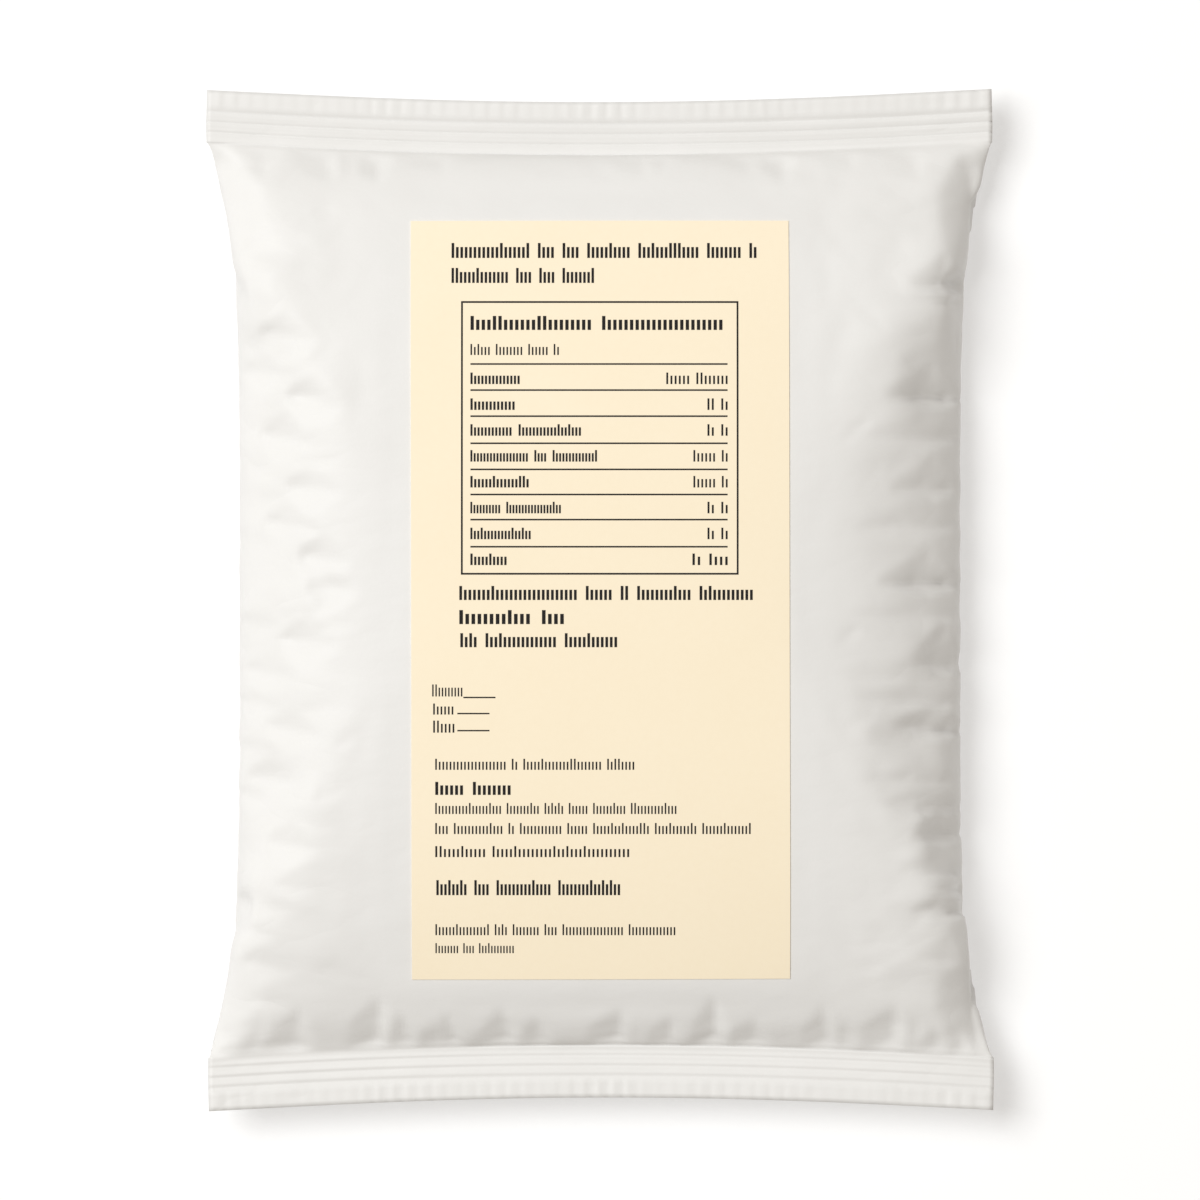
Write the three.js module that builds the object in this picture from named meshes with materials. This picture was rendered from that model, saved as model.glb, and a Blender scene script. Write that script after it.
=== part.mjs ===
// A one-kilogram bag of white sugar, lying on its back with its paper label upwards.
// The bag is a tube of matt film, crimped shut at both ends. Its form is found the way the real one
// gets it: a flat tube of film that can't stretch is filled until it holds the sugar's volume, and
// the film that is too long along the sides and too wide at the seals buckles into folds.
// Units are millimetres. +Z is up, +Y points to the top seal, and the origin is on the table,
// under the middle of the bag.
import * as THREE from "three";

// Driving dimensions
const flatWidth = 198; // the tube of film pressed flat, which is also the length of each end seal
const flatBody = 235.5; // the film between the two seals, pressed flat
const sugarVolume = 1.1e6; // cubic millimetres: one kilogram of settled granulated sugar
const sealHeight = 13.2; // one crimped end seal
const sealThickness = 0.5; // the two welded films, drawn a little thicker than they are
const ribCount = 3; // grooves pressed along each seal
const ribPitch = 2.3;
const ribDepth = 0.35; // how far a rib stands up or down from the middle of the seal
const labelWidth = 94.5;
const labelLength = 191; // along the film, so a little more than it looks from above
const labelThickness = 0.25;
const labelGap = 0.3; // clear space between the film and the label

// The film grid
const columns = 40;
const bodyRows = 48;
const sealRows = 3;
const columnPitch = flatWidth / columns;
const bodyPitch = flatBody / bodyRows;
const sealPitch = sealHeight / sealRows;
const lowerSealLine = sealRows;
const upperSealLine = sealRows + bodyRows;
const rows = bodyRows + 2 * sealRows;

// The filling
const steps = 900;
const pattedSteps = 750; // the steps in which a board over the bag keeps it flat
const boardHeight = 31.5;
const sweeps = 16; // passes over the film's links in each step
const fillPressure = 0.0015; // largest push on the film, in mm per step squared for each mm2
const fillGain = 0.02; // the push for each share of the volume that is missing
const sugarWeight = 2.0e-5; // growth of the push for each mm below the top of the sugar
const drag = 0.965; // share of the film's speed that is left after a step
const filmStiffness = 0.0004; // how strongly a fold in the film is drawn straight
const labelStiffness = 0.1; // the same where the film carries the label
const sealStiffness = 0.9; // the same in a crimped seal
const startBulge = 6; // half the bag's thickness before it is filled
const restHeight = 0.1; // film that comes to lie lower than this is flat on the table

// Where the film first gives way along each side, as shares of the length between the seals,
// counted from the bottom seal: the kinks near the corners, and the small dents between them
const sideKinks = { left: [0.114, 0.867], right: [0.095, 0.883] };
const sideDents = {
  left: [0.19, 0.29, 0.38, 0.47, 0.54, 0.62, 0.7, 0.78],
  right: [0.17, 0.25, 0.36, 0.44, 0.53, 0.6, 0.7, 0.79],
};
const kinkDepth = 5;
const dentDepth = 2.5;
const dentWidth = 0.018;

const isSeal = (j) => j <= lowerSealLine || j >= upperSealLine;

// Distance of a row along the flat tube, from the middle of the bag.
function rowPlace(j) {
  if (j < lowerSealLine) return -flatBody / 2 - (lowerSealLine - j) * sealPitch;
  if (j > upperSealLine) return flatBody / 2 + (j - upperSealLine) * sealPitch;
  return -flatBody / 2 + (j - lowerSealLine) * bodyPitch;
}

// The grid's points: the two films share those at the sides of the tube and all those in a seal.
function numberPoints() {
  const front = [];
  const back = [];
  let count = 0;
  for (let j = 0; j <= rows; j++) {
    front.push([]);
    back.push([]);
    for (let i = 0; i <= columns; i++) {
      front[j].push(count++);
      const shared = isSeal(j) || i === 0 || i === columns;
      back[j].push(shared ? front[j][i] : count++);
    }
  }
  return { front, back, count };
}

const grid = numberPoints();

// How far inwards a side of the tube starts at a share of its length.
function dentAt(side, along) {
  const hollow = (at) => Math.exp(-(((along - at) / dentWidth) ** 2));
  const sum = (places) => places.reduce((total, at) => total + hollow(at), 0);
  return kinkDepth * sum(sideKinks[side]) + dentDepth * sum(sideDents[side]);
}

// The tube before it is filled: nearly flat, with the starts of the side folds.
function startPoints() {
  const place = new Float64Array(grid.count * 3);
  for (let j = 0; j <= rows; j++) {
    const along = Math.min(Math.max((j - lowerSealLine) / bodyRows, 0), 1);
    for (let i = 0; i <= columns; i++) {
      const across = i / columns;
      const bulge = startBulge * Math.sin(Math.PI * across) * Math.sin(Math.PI * along);
      const nearSide = Math.exp(-Math.min(i, columns - i) / 2);
      const dent = isSeal(j) ? 0 : nearSide * dentAt(across < 0.5 ? "left" : "right", along);
      const x = (across - 0.5) * flatWidth + (across < 0.5 ? dent : -dent);
      const y = rowPlace(j);
      place.set([x, y, startBulge - bulge], grid.back[j][i] * 3);
      place.set([x, y, startBulge + bulge], grid.front[j][i] * 3);
    }
  }
  return place;
}

// Links that keep the film from stretching, and triples of points that resist folding.
function weaveFilm() {
  const links = [];
  const bends = [];
  const known = new Set();
  const link = (a, b, length) => {
    const key = a < b ? a * grid.count + b : b * grid.count + a;
    if (a === b || known.has(key)) return;
    known.add(key);
    links.push([a, b, length]);
  };
  const inLabel = (i, j) =>
    Math.abs(i - columns / 2) * columnPitch <= labelWidth / 2 && Math.abs(rowPlace(j)) <= labelLength / 2;
  for (const sheet of [grid.front, grid.back]) {
    for (let j = 0; j <= rows; j++) {
      for (let i = 0; i <= columns; i++) {
        const here = sheet[j][i];
        const tall = j < rows ? rowPlace(j + 1) - rowPlace(j) : 0;
        const slant = Math.hypot(columnPitch, tall);
        if (i < columns) link(here, sheet[j][i + 1], columnPitch);
        if (j < rows) link(here, sheet[j + 1][i], tall);
        if (i < columns && j < rows) {
          link(here, sheet[j + 1][i + 1], slant);
          link(sheet[j][i + 1], sheet[j + 1][i], slant);
        }
        let stiffness = filmStiffness;
        if (sheet === grid.front && inLabel(i, j)) stiffness = labelStiffness;
        if (isSeal(j)) stiffness = sealStiffness;
        if (i > 0 && i < columns) {
          bends.push([sheet[j][i - 1], sheet[j][i - 1], here, sheet[j][i + 1], stiffness]);
        }
        if (j > 0 && j < rows && j !== lowerSealLine && j !== upperSealLine) {
          bends.push([sheet[j - 1][i], sheet[j - 1][i], here, sheet[j + 1][i], stiffness]);
        }
      }
    }
  }
  for (let j = lowerSealLine + 1; j < upperSealLine; j++) {
    for (const [edge, inner] of [[0, 1], [columns, columns - 1]]) {
      const [front, here, back] = [grid.front[j][inner], grid.front[j][edge], grid.back[j][inner]];
      bends.push([front, front, here, back, filmStiffness]);
    }
  }
  // A seal carries on midway between the two films that leave it.
  for (const [line, inward] of [[lowerSealLine, 1], [upperSealLine, -1]]) {
    for (let i = 0; i <= columns; i++) {
      const [front, back] = [grid.front[line + inward][i], grid.back[line + inward][i]];
      bends.push([front, back, grid.front[line][i], grid.front[line - inward][i], sealStiffness]);
    }
  }
  const column = (list, k, kind) => kind.from(list, (entry) => entry[k]);
  return {
    links: {
      count: links.length,
      from: column(links, 0, Int32Array),
      to: column(links, 1, Int32Array),
      length: column(links, 2, Float64Array),
    },
    bends: {
      count: bends.length,
      before: column(bends, 0, Int32Array),
      beside: column(bends, 1, Int32Array),
      middle: column(bends, 2, Int32Array),
      after: column(bends, 3, Int32Array),
      stiffness: column(bends, 4, Float64Array),
    },
  };
}

// The film's triangles round the sugar, facing out.
function bodyTriangles() {
  const triangles = [];
  for (let j = lowerSealLine; j < upperSealLine; j++) {
    for (let i = 0; i < columns; i++) {
      const [a, b] = [grid.front[j][i], grid.front[j][i + 1]];
      const [d, c] = [grid.front[j + 1][i], grid.front[j + 1][i + 1]];
      triangles.push([a, b, c], [a, c, d]);
      const [e, f] = [grid.back[j][i], grid.back[j][i + 1]];
      const [h, g] = [grid.back[j + 1][i], grid.back[j + 1][i + 1]];
      triangles.push([e, g, f], [e, h, g]);
    }
  }
  return triangles;
}

// Six times the volume that the triangles close.
function sixVolumes(place, triangles) {
  let sum = 0;
  for (const [a, b, c] of triangles) {
    const [ax, ay, az] = [place[3 * a], place[3 * a + 1], place[3 * a + 2]];
    const [bx, by, bz] = [place[3 * b], place[3 * b + 1], place[3 * b + 2]];
    const [cx, cy, cz] = [place[3 * c], place[3 * c + 1], place[3 * c + 2]];
    sum += ax * (by * cz - bz * cy) + ay * (bz * cx - bx * cz) + az * (bx * cy - by * cx);
  }
  return sum;
}

// Pushes each point of the film outwards by the sugar behind it. The push at the top of the bag is
// what brings it to the sugar's volume, and it grows with depth.
function pushFilm(place, speed, triangles) {
  const missing = 1 - sixVolumes(place, triangles) / 6 / sugarVolume;
  const even = Math.min(fillGain * missing, fillPressure);
  let top = 0;
  for (const [a] of triangles) top = Math.max(top, place[3 * a + 2]);
  for (const [a, b, c] of triangles) {
    const ax = place[3 * a];
    const ay = place[3 * a + 1];
    const az = place[3 * a + 2];
    const ux = place[3 * b] - ax;
    const uy = place[3 * b + 1] - ay;
    const uz = place[3 * b + 2] - az;
    const vx = place[3 * c] - ax;
    const vy = place[3 * c + 1] - ay;
    const vz = place[3 * c + 2] - az;
    const push = (even + sugarWeight * (top - az)) / 6;
    const x = (uy * vz - uz * vy) * push;
    const y = (uz * vx - ux * vz) * push;
    const z = (ux * vy - uy * vx) * push;
    for (const point of [a, b, c]) {
      speed[3 * point] += x;
      speed[3 * point + 1] += y;
      speed[3 * point + 2] += z;
    }
  }
}

// Draws linked points back to their distance, taking the links forwards and backwards by turns.
function holdLength(place, links, backwards) {
  for (let n = 0; n < links.count; n++) {
    const k = backwards ? links.count - 1 - n : n;
    const a = 3 * links.from[k];
    const b = 3 * links.to[k];
    const x = place[b] - place[a];
    const y = place[b + 1] - place[a + 1];
    const z = place[b + 2] - place[a + 2];
    const now = Math.sqrt(x * x + y * y + z * z);
    const share = (0.5 * (now - links.length[k])) / now;
    place[a] += x * share;
    place[a + 1] += y * share;
    place[a + 2] += z * share;
    place[b] -= x * share;
    place[b + 1] -= y * share;
    place[b + 2] -= z * share;
  }
}

// Draws the middle point of each fold towards the line between the point after it and the mean of
// the two before it, which are the same point but at a seal.
function holdFlat(place, bends) {
  for (let k = 0; k < bends.count; k++) {
    const a = 3 * bends.before[k];
    const b = 3 * bends.beside[k];
    const c = 3 * bends.middle[k];
    const d = 3 * bends.after[k];
    for (let axis = 0; axis < 3; axis++) {
      const mean = (place[a + axis] + place[b + axis]) / 2;
      const away = bends.stiffness[k] * ((mean + place[d + axis]) / 2 - place[c + axis]);
      place[a + axis] -= away / 8;
      place[b + axis] -= away / 8;
      place[c + axis] += away / 2;
      place[d + axis] -= away / 4;
    }
  }
}

// Keeps the points above the table and below a ceiling.
function holdBetween(place, ceiling) {
  for (let k = 2; k < place.length; k += 3) place[k] = Math.min(Math.max(place[k], 0), ceiling);
}

// Fills the flat tube on the table, under a board that is then taken away, and returns where its
// points come to rest.
function fillBag() {
  const place = startPoints();
  const speed = new Float64Array(place.length);
  const { links, bends } = weaveFilm();
  const triangles = bodyTriangles();
  for (let step = 0; step < steps; step++) {
    const before = place.slice();
    pushFilm(place, speed, triangles);
    for (let k = 0; k < place.length; k++) place[k] += speed[k];
    for (let sweep = 0; sweep < sweeps; sweep++) {
      holdLength(place, links, sweep % 2 === 1);
      holdFlat(place, bends);
      holdBetween(place, step < pattedSteps ? boardHeight : Infinity);
    }
    for (let k = 0; k < place.length; k++) speed[k] = (place[k] - before[k]) * drag;
  }
  return place;
}

// Moves the filled bag so that its middle is over the origin, and lays its underside flat.
function settleBag(place) {
  for (const axis of [0, 1]) {
    const along = place.filter((_, k) => k % 3 === axis);
    const middle = (Math.min(...along) + Math.max(...along)) / 2;
    for (let k = axis; k < place.length; k += 3) place[k] -= middle;
  }
  for (let k = 2; k < place.length; k += 3) if (place[k] < restHeight) place[k] = 0;
  return place;
}

const filled = settleBag(fillBag());

// The point of a filled film at a distance across and along the flat tube, from its middle.
function filmPoint(sheet, across, along) {
  const i = THREE.MathUtils.clamp((across + flatWidth / 2) / columnPitch, 0, columns);
  const inBody = (along + flatBody / 2) / bodyPitch;
  const beyond = Math.max(Math.abs(along) - flatBody / 2, 0) / sealPitch;
  const j = lowerSealLine + THREE.MathUtils.clamp(inBody, 0, bodyRows) + Math.sign(along) * beyond;
  const [i0, j0] = [Math.min(Math.floor(i), columns - 1), Math.min(Math.floor(j), rows - 1)];
  const at = (column, row) => new THREE.Vector3().fromArray(filled, sheet[row][column] * 3);
  const lower = at(i0, j0).lerp(at(i0 + 1, j0), i - i0);
  const upper = at(i0, j0 + 1).lerp(at(i0 + 1, j0 + 1), i - i0);
  return lower.lerp(upper, j - j0);
}

// The outward normal of a filled film there.
function filmNormal(sheet, across, along) {
  const reach = columnPitch / 2;
  const u = filmPoint(sheet, across + reach, along).sub(filmPoint(sheet, across - reach, along));
  const v = filmPoint(sheet, across, along + reach).sub(filmPoint(sheet, across, along - reach));
  const normal = u.cross(v).normalize();
  return sheet === grid.front ? normal : normal.negate();
}

// A closed shell from an upper and a lower grid of points that face each other.
function shellGeometry(upper, lower) {
  const points = [];
  const numbers = new Map();
  const number = (p) => {
    const key = p.toArray().map((v) => v.toFixed(4)).join(" ");
    if (!numbers.has(key)) numbers.set(key, points.push(p) - 1);
    return numbers.get(key);
  };
  const faces = [];
  const face = (...corners) => {
    const [a, b, c] = corners.map(number);
    if (a !== b && b !== c && c !== a) faces.push(a, b, c);
  };
  const quad = (a, b, c, d) => {
    face(a, b, c);
    face(a, c, d);
  };
  const last = upper.length - 1;
  const wide = upper[0].length - 1;
  for (let j = 0; j < last; j++) {
    for (let i = 0; i < wide; i++) {
      quad(upper[j][i], upper[j][i + 1], upper[j + 1][i + 1], upper[j + 1][i]);
      quad(lower[j][i], lower[j + 1][i], lower[j + 1][i + 1], lower[j][i + 1]);
    }
    quad(upper[j][0], upper[j + 1][0], lower[j + 1][0], lower[j][0]);
    quad(upper[j + 1][wide], upper[j][wide], lower[j][wide], lower[j + 1][wide]);
  }
  for (let i = 0; i < wide; i++) {
    quad(upper[0][i + 1], upper[0][i], lower[0][i], lower[0][i + 1]);
    quad(upper[last][i], upper[last][i + 1], lower[last][i + 1], lower[last][i]);
  }
  const geometry = new THREE.BufferGeometry();
  const places = points.flatMap((p) => p.toArray());
  geometry.setAttribute("position", new THREE.Float32BufferAttribute(places, 3));
  geometry.setIndex(faces);
  geometry.computeVertexNormals();
  return geometry;
}

// The rows of one seal, as distances beyond its seal line: each rib's foot and top, then the plain
// band at the cut edge.
function sealSteps() {
  const ribs = Array.from({ length: 2 * ribCount + 1 }, (_, k) => ((k + 1) * ribPitch) / 2);
  return [...ribs, sealHeight];
}

// How far the seal's middle lies above its plane at a distance beyond the seal line.
function ribLift(beyond) {
  const inRibs = beyond > 0 && beyond < (ribCount + 1) * ribPitch;
  return inRibs ? ribDepth * Math.sin((2 * Math.PI * (beyond - ribPitch / 4)) / ribPitch) : 0;
}

// The bag: the filled films between the seals, and the two crimped strips.
function bagGeometry() {
  const outward = sealSteps();
  const alongs = [
    ...outward.map((step) => -flatBody / 2 - step).reverse(),
    ...Array.from({ length: bodyRows + 1 }, (_, j) => rowPlace(lowerSealLine + j)),
    ...outward.map((step) => flatBody / 2 + step),
  ];
  const upper = [];
  const lower = [];
  for (const along of alongs) {
    const beyond = Math.abs(along) - flatBody / 2;
    const front = [];
    const back = [];
    for (let i = 0; i <= columns; i++) {
      const across = i * columnPitch - flatWidth / 2;
      const top = filmPoint(grid.front, across, along);
      const bottom = filmPoint(grid.back, across, along);
      if (beyond > -1e-6) {
        const lift = ribLift(beyond);
        top.z += lift + sealThickness / 2;
        bottom.z += lift - sealThickness / 2;
      }
      front.push(top);
      back.push(bottom);
    }
    upper.push(front);
    lower.push(back);
  }
  return shellGeometry(upper, lower);
}

// The paper label: a thin sheet that follows the front film just above it.
function labelGeometry() {
  const [wide, tall] = [Math.round(labelWidth / columnPitch), Math.round(labelLength / bodyPitch)];
  const sheetAt = (height) =>
    Array.from({ length: tall + 1 }, (_, j) =>
      Array.from({ length: wide + 1 }, (_, i) => {
        const across = (i / wide - 0.5) * labelWidth;
        const along = (j / tall - 0.5) * labelLength;
        const normal = filmNormal(grid.front, across, along);
        return filmPoint(grid.front, across, along).addScaledVector(normal, height);
      }),
    );
  return shellGeometry(sheetAt(labelGap + labelThickness), sheetAt(labelGap));
}

const film = new THREE.MeshStandardMaterial({ color: 0xf1efeb, roughness: 0.5, metalness: 0 });
const paper = new THREE.MeshStandardMaterial({ color: 0xfaebd0, roughness: 0.75, metalness: 0 });

const bag = new THREE.Group();
for (const [name, geometry, material] of [
  ["bag", bagGeometry(), film],
  ["label", labelGeometry(), paper],
]) {
  const piece = new THREE.Mesh(geometry, material);
  piece.name = name;
  bag.add(piece);
}

export default bag;
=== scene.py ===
# %% [markdown]
# # A one-kilogram bag of sugar
#
# The bag is a tube of matt white film, crimped shut at both ends, with a tall cream paper label stuck on
# the side that shows. It lies on its back, and the camera looks straight down on it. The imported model
# already holds the bag's filled form and the label as coarse solids, in metres, with the origin on the
# table under the middle of the bag and +Y towards the top seal. This script refines both and gives them
# their finish.
#
# The model is loaded first, and its size is kept, because everything that follows has to stay inside it.

# %% Load the solid model
import math
import random

import bmesh
import bpy
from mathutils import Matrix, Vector, noise


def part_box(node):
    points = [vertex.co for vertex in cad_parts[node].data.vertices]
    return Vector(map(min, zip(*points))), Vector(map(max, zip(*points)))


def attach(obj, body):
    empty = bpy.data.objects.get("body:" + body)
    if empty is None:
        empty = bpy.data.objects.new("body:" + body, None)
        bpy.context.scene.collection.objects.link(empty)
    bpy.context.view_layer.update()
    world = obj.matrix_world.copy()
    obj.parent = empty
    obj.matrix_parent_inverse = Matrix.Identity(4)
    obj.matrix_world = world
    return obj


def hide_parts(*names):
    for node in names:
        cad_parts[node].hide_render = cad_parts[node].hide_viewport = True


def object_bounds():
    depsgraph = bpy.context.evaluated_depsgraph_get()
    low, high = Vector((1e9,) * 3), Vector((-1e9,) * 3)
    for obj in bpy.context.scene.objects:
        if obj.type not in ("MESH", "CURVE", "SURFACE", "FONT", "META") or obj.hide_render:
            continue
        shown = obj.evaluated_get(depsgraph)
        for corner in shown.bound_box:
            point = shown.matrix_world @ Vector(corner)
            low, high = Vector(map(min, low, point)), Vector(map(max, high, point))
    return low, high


MM = 0.001  # lengths below are written in millimetres, and Blender's are in metres

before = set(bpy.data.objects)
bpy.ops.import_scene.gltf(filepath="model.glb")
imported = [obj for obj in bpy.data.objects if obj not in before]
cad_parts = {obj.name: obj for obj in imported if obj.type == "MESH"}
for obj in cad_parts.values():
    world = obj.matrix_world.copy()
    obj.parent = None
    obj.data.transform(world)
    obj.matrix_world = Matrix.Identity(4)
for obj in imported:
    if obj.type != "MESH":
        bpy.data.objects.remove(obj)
cad_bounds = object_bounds()
low, high = cad_bounds
bpy.ops.object.select_all(action="DESELECT")
print("solid model, mm:", [round((high[k] - low[k]) / MM, 1) for k in range(3)])


def ramp(value, start, end):
    """0 up to start, 1 from end on, and a smooth slope between them. start may be the larger one."""
    share = min(max((value - start) / (end - start), 0.0), 1.0)
    return share * share * (3.0 - 2.0 * share)


# %% [markdown]
# The photograph was taken from straight above, with so long a lens that the bag's sides don't show. A wide
# lens would make the crown of the bag, which is nearer, look too large. So the camera is far away with a
# long lens. The frame's width follows from one length that can be measured in the photograph, the seal.

# %% Look straight down
PICTURE_PIXELS = 1200
SEAL_PIXELS = 788  # the length of a seal in the photograph
SEAL_LEVEL = 14 * MM  # the seals' height over the table
SENSOR = 36.0
LENS = 500.0

pixel = (high[0] - low[0]) / SEAL_PIXELS
view_width = PICTURE_PIXELS * pixel
camera_data = bpy.data.cameras.new("camera")
camera_data.sensor_width = SENSOR
camera_data.lens = LENS
camera = bpy.data.objects.new("camera", camera_data)
camera.location = (0, 0, SEAL_LEVEL + view_width * LENS / SENSOR)
bpy.context.scene.collection.objects.link(camera)
bpy.context.scene.camera = camera
print("one pixel of the photograph is", round(pixel / MM, 4), "mm")

# %% [markdown]
# The light is a large soft box at the upper left and a bright room all round. In the photograph the left
# flank is nearly as bright as paper and the right flank is a third darker, so the key light is low enough
# to rake the flanks, and the warmer room fills the rest. The floor is a plain pale sheet.

# %% Light the table
KEY_PLACE = Vector((-1.27, 0.64, 2.5))
KEY_SIZE = 1.6
KEY_POWER = 69.0
KEY_COLOUR = (0.965, 0.985, 1.0)
ROOM_LIGHT = 0.4
ROOM_COLOUR = (1.0, 0.918, 0.825, 1.0)
FLOOR_SIZE = 20.0
FLOOR_LEVEL = -0.2 * MM

scene = bpy.context.scene
scene.view_settings.view_transform = "Standard"
world = bpy.data.worlds.new("room")
world.use_nodes = True
background = world.node_tree.nodes["Background"]
background.inputs["Color"].default_value = ROOM_COLOUR
background.inputs["Strength"].default_value = ROOM_LIGHT
scene.world = world

key_data = bpy.data.lights.new("key", "AREA")
key_data.energy = KEY_POWER
key_data.size = KEY_SIZE
key_data.color = KEY_COLOUR
key = bpy.data.objects.new("key", key_data)
key.location = KEY_PLACE
key.rotation_euler = (-KEY_PLACE).to_track_quat("-Z", "Y").to_euler()
scene.collection.objects.link(key)

bpy.ops.mesh.primitive_plane_add(size=FLOOR_SIZE, location=(0, 0, FLOOR_LEVEL))
floor = bpy.context.object
floor.name = "floor"

# %% [markdown]
# ## Finishes
#
# Every finish is one Principled shader with a few nodes before it. A small class wraps a node's output, so
# that what varies over a surface can be written as a sum, and one method adds any other node.


# %% Write shader maths as sums
class Amount:
    """A node's output that stands in sums like a number."""

    def __init__(self, finish, output):
        self.finish = finish
        self.output = output

    def maths(self, operation, first, second):
        return self.finish.node("Math", {"operation": operation}, {0: first, 1: second})

    def __add__(self, other):
        return self.maths("ADD", self, other)

    def __radd__(self, other):
        return self.maths("ADD", other, self)

    def __sub__(self, other):
        return self.maths("SUBTRACT", self, other)

    def __rsub__(self, other):
        return self.maths("SUBTRACT", other, self)

    def __mul__(self, other):
        return self.maths("MULTIPLY", self, other)

    def __rmul__(self, other):
        return self.maths("MULTIPLY", other, self)


class Finish:
    """A material with one Principled shader."""

    def __init__(self, name, **constants):
        self.material = bpy.data.materials.new(name)
        self.material.use_nodes = True
        self.tree = self.material.node_tree
        self.shader = self.tree.nodes["Principled BSDF"]
        for socket, value in constants.items():
            self.shader.inputs[socket.replace("_", " ").title()].default_value = value

    def node(self, kind, settings=None, inputs=None, output=0):
        """Adds a node, sets it up, feeds its sockets, and returns one of its outputs."""
        node = self.tree.nodes.new("ShaderNode" + kind)
        for name, value in (settings or {}).items():
            setattr(node, name, value)
        for name, value in (inputs or {}).items():
            if isinstance(value, Amount):
                self.tree.links.new(value.output, node.inputs[name])
            else:
                node.inputs[name].default_value = value
        return Amount(self, node.outputs[output])

    def feed(self, **values):
        """Feeds the shader's sockets from nodes."""
        for socket, value in values.items():
            self.tree.links.new(value.output, self.shader.inputs[socket.replace("_", " ").title()])

    def noise(self, size, detail=2.0, stretch=(1, 1, 1)):
        """Noise on the object's own coordinates, with spots of a size in metres."""
        place = self.node("TexCoord", output="Object")
        scale = tuple(1.0 / (size * share) for share in stretch)
        place = self.node("Mapping", None, {"Vector": place, "Scale": scale})
        return self.node("TexNoise", None, {"Vector": place, "Scale": 1.0, "Detail": detail})

    def folds(self, size, stretch):
        """Sharp shallow valleys that wander over the surface, as in film that has been crumpled."""
        spread = 2.0 * self.noise(size, detail=1.5, stretch=stretch) - 1.0
        return spread.maths("ABSOLUTE", spread, 0.0)

    def towards_sides(self, start, end):
        """0 on the middle of the object and 1 at its left and right sides."""
        place = self.node("TexCoord", output="Object")
        x = self.node("SeparateXYZ", None, {"Vector": place}, output="X")
        limits = {"Value": x.maths("ABSOLUTE", x, 0.0), "From Min": start, "From Max": end}
        return self.node("MapRange", {"interpolation_type": "SMOOTHSTEP"}, limits)

    def tint(self, mask, dark, light):
        """A colour between two, by a mask."""
        both = {"Factor": mask, 6: (*dark, 1.0), 7: (*light, 1.0)}
        return self.node("Mix", {"data_type": "RGBA"}, both, output=2)

    def bump(self, height, distance, strength=1.0, below=None):
        """A normal from a height between 0 and 1. Bumps stack on the one below."""
        inputs = {"Height": height, "Distance": distance, "Strength": strength}
        if below:
            inputs["Normal"] = below
        return self.node("Bump", None, inputs)


# %% [markdown]
# The floor is a matt white sheet that is also lit from below, as on a photographer's light table. That
# keeps it nearly white, and the shadow beside the bag faint. A slight unevenness keeps it from looking like
# empty space.

# %% Finish the floor
GLOW_COLOUR = (1.0, 1.0, 1.0, 1.0)
GLOW = 0.4
sheet = Finish("floor_sheet", roughness=0.9, emission_color=GLOW_COLOUR, emission_strength=GLOW)
sheet.feed(base_color=sheet.tint(sheet.noise(0.4), (0.60, 0.60, 0.60), (0.62, 0.62, 0.62)))
floor.data.materials.append(sheet.material)

# %% [markdown]
# The film is matt white packing film, a little warm. Its gloss is broad and weak. Sugar grains behind it
# give the face a fine unevenness of under a millimetre, and handling gives it soft waves and shallow sharp
# folds, more of them on the flanks. All are far too shallow to model, so they are bumps. Its white varies
# by a few hundredths.

# %% Finish the film
film = Finish("matt_film", roughness=0.5)
film.shader.inputs["Specular IOR Level"].default_value = 0.35
mottle = film.noise(22 * MM, detail=3.0)
grain = film.noise(0.9 * MM, detail=3.0)
waves = film.noise(9 * MM, detail=2.0, stretch=(1.6, 0.8, 1.0))
folds = film.folds(15 * MM, (1.5, 0.8, 1.0))
flanks = film.towards_sides(55 * MM, 85 * MM)
crumple = film.bump(0.5 * waves + (0.3 + 0.8 * flanks) * folds, 0.5 * MM, 0.8)
film.feed(
    base_color=film.tint(mottle, (0.767, 0.761, 0.743), (0.80, 0.794, 0.779)),
    roughness=0.42 + 0.12 * mottle + 0.06 * grain,
    normal=film.bump(grain, 0.03 * MM, 0.8, below=crumple),
)

# %% [markdown]
# The label is smooth uncoated paper, cream all through, with the cloudy look of pulp when it is seen close.
# The print is matt black ink, a little uneven where the paper took less of it.

# %% Finish the paper and the ink
paper = Finish("label_paper", roughness=0.78)
paper.shader.inputs["Specular IOR Level"].default_value = 0.25
pulp = paper.noise(1.6 * MM, detail=5.0)
clouds = paper.noise(30 * MM, detail=2.0)
paper.feed(
    base_color=paper.tint(pulp * 0.5 + clouds * 0.5, (0.915, 0.8, 0.6), (0.95, 0.848, 0.658)),
    roughness=0.72 + 0.12 * pulp,
    normal=paper.bump(pulp, 0.02 * MM, 0.5),
)

ink = Finish("black_ink", roughness=0.6)
ink.shader.inputs["Specular IOR Level"].default_value = 0.15
coverage = ink.noise(0.5 * MM, detail=3.0)
ink.feed(
    base_color=ink.tint(coverage, (0.006, 0.005, 0.005), (0.02, 0.018, 0.017)),
    roughness=0.5 + 0.2 * coverage,
)

# %% [markdown]
# ## The film bag
#
# Much below is placed by how far it lies from a seal. The cut edges bow in towards the bag's middle by
# nearly two millimetres, so that distance is counted from a parabola through each cut edge, found on the
# solid.

# %% Find the seals
SEAL_HEIGHT = 13.2 * MM
NEAR = 2.6 * MM  # how far to either side a point of the cut edge is looked for
INSET = 2 * MM  # its ends are taken this far from the corners
half_seal = (high[0] - low[0]) / 2


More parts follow.
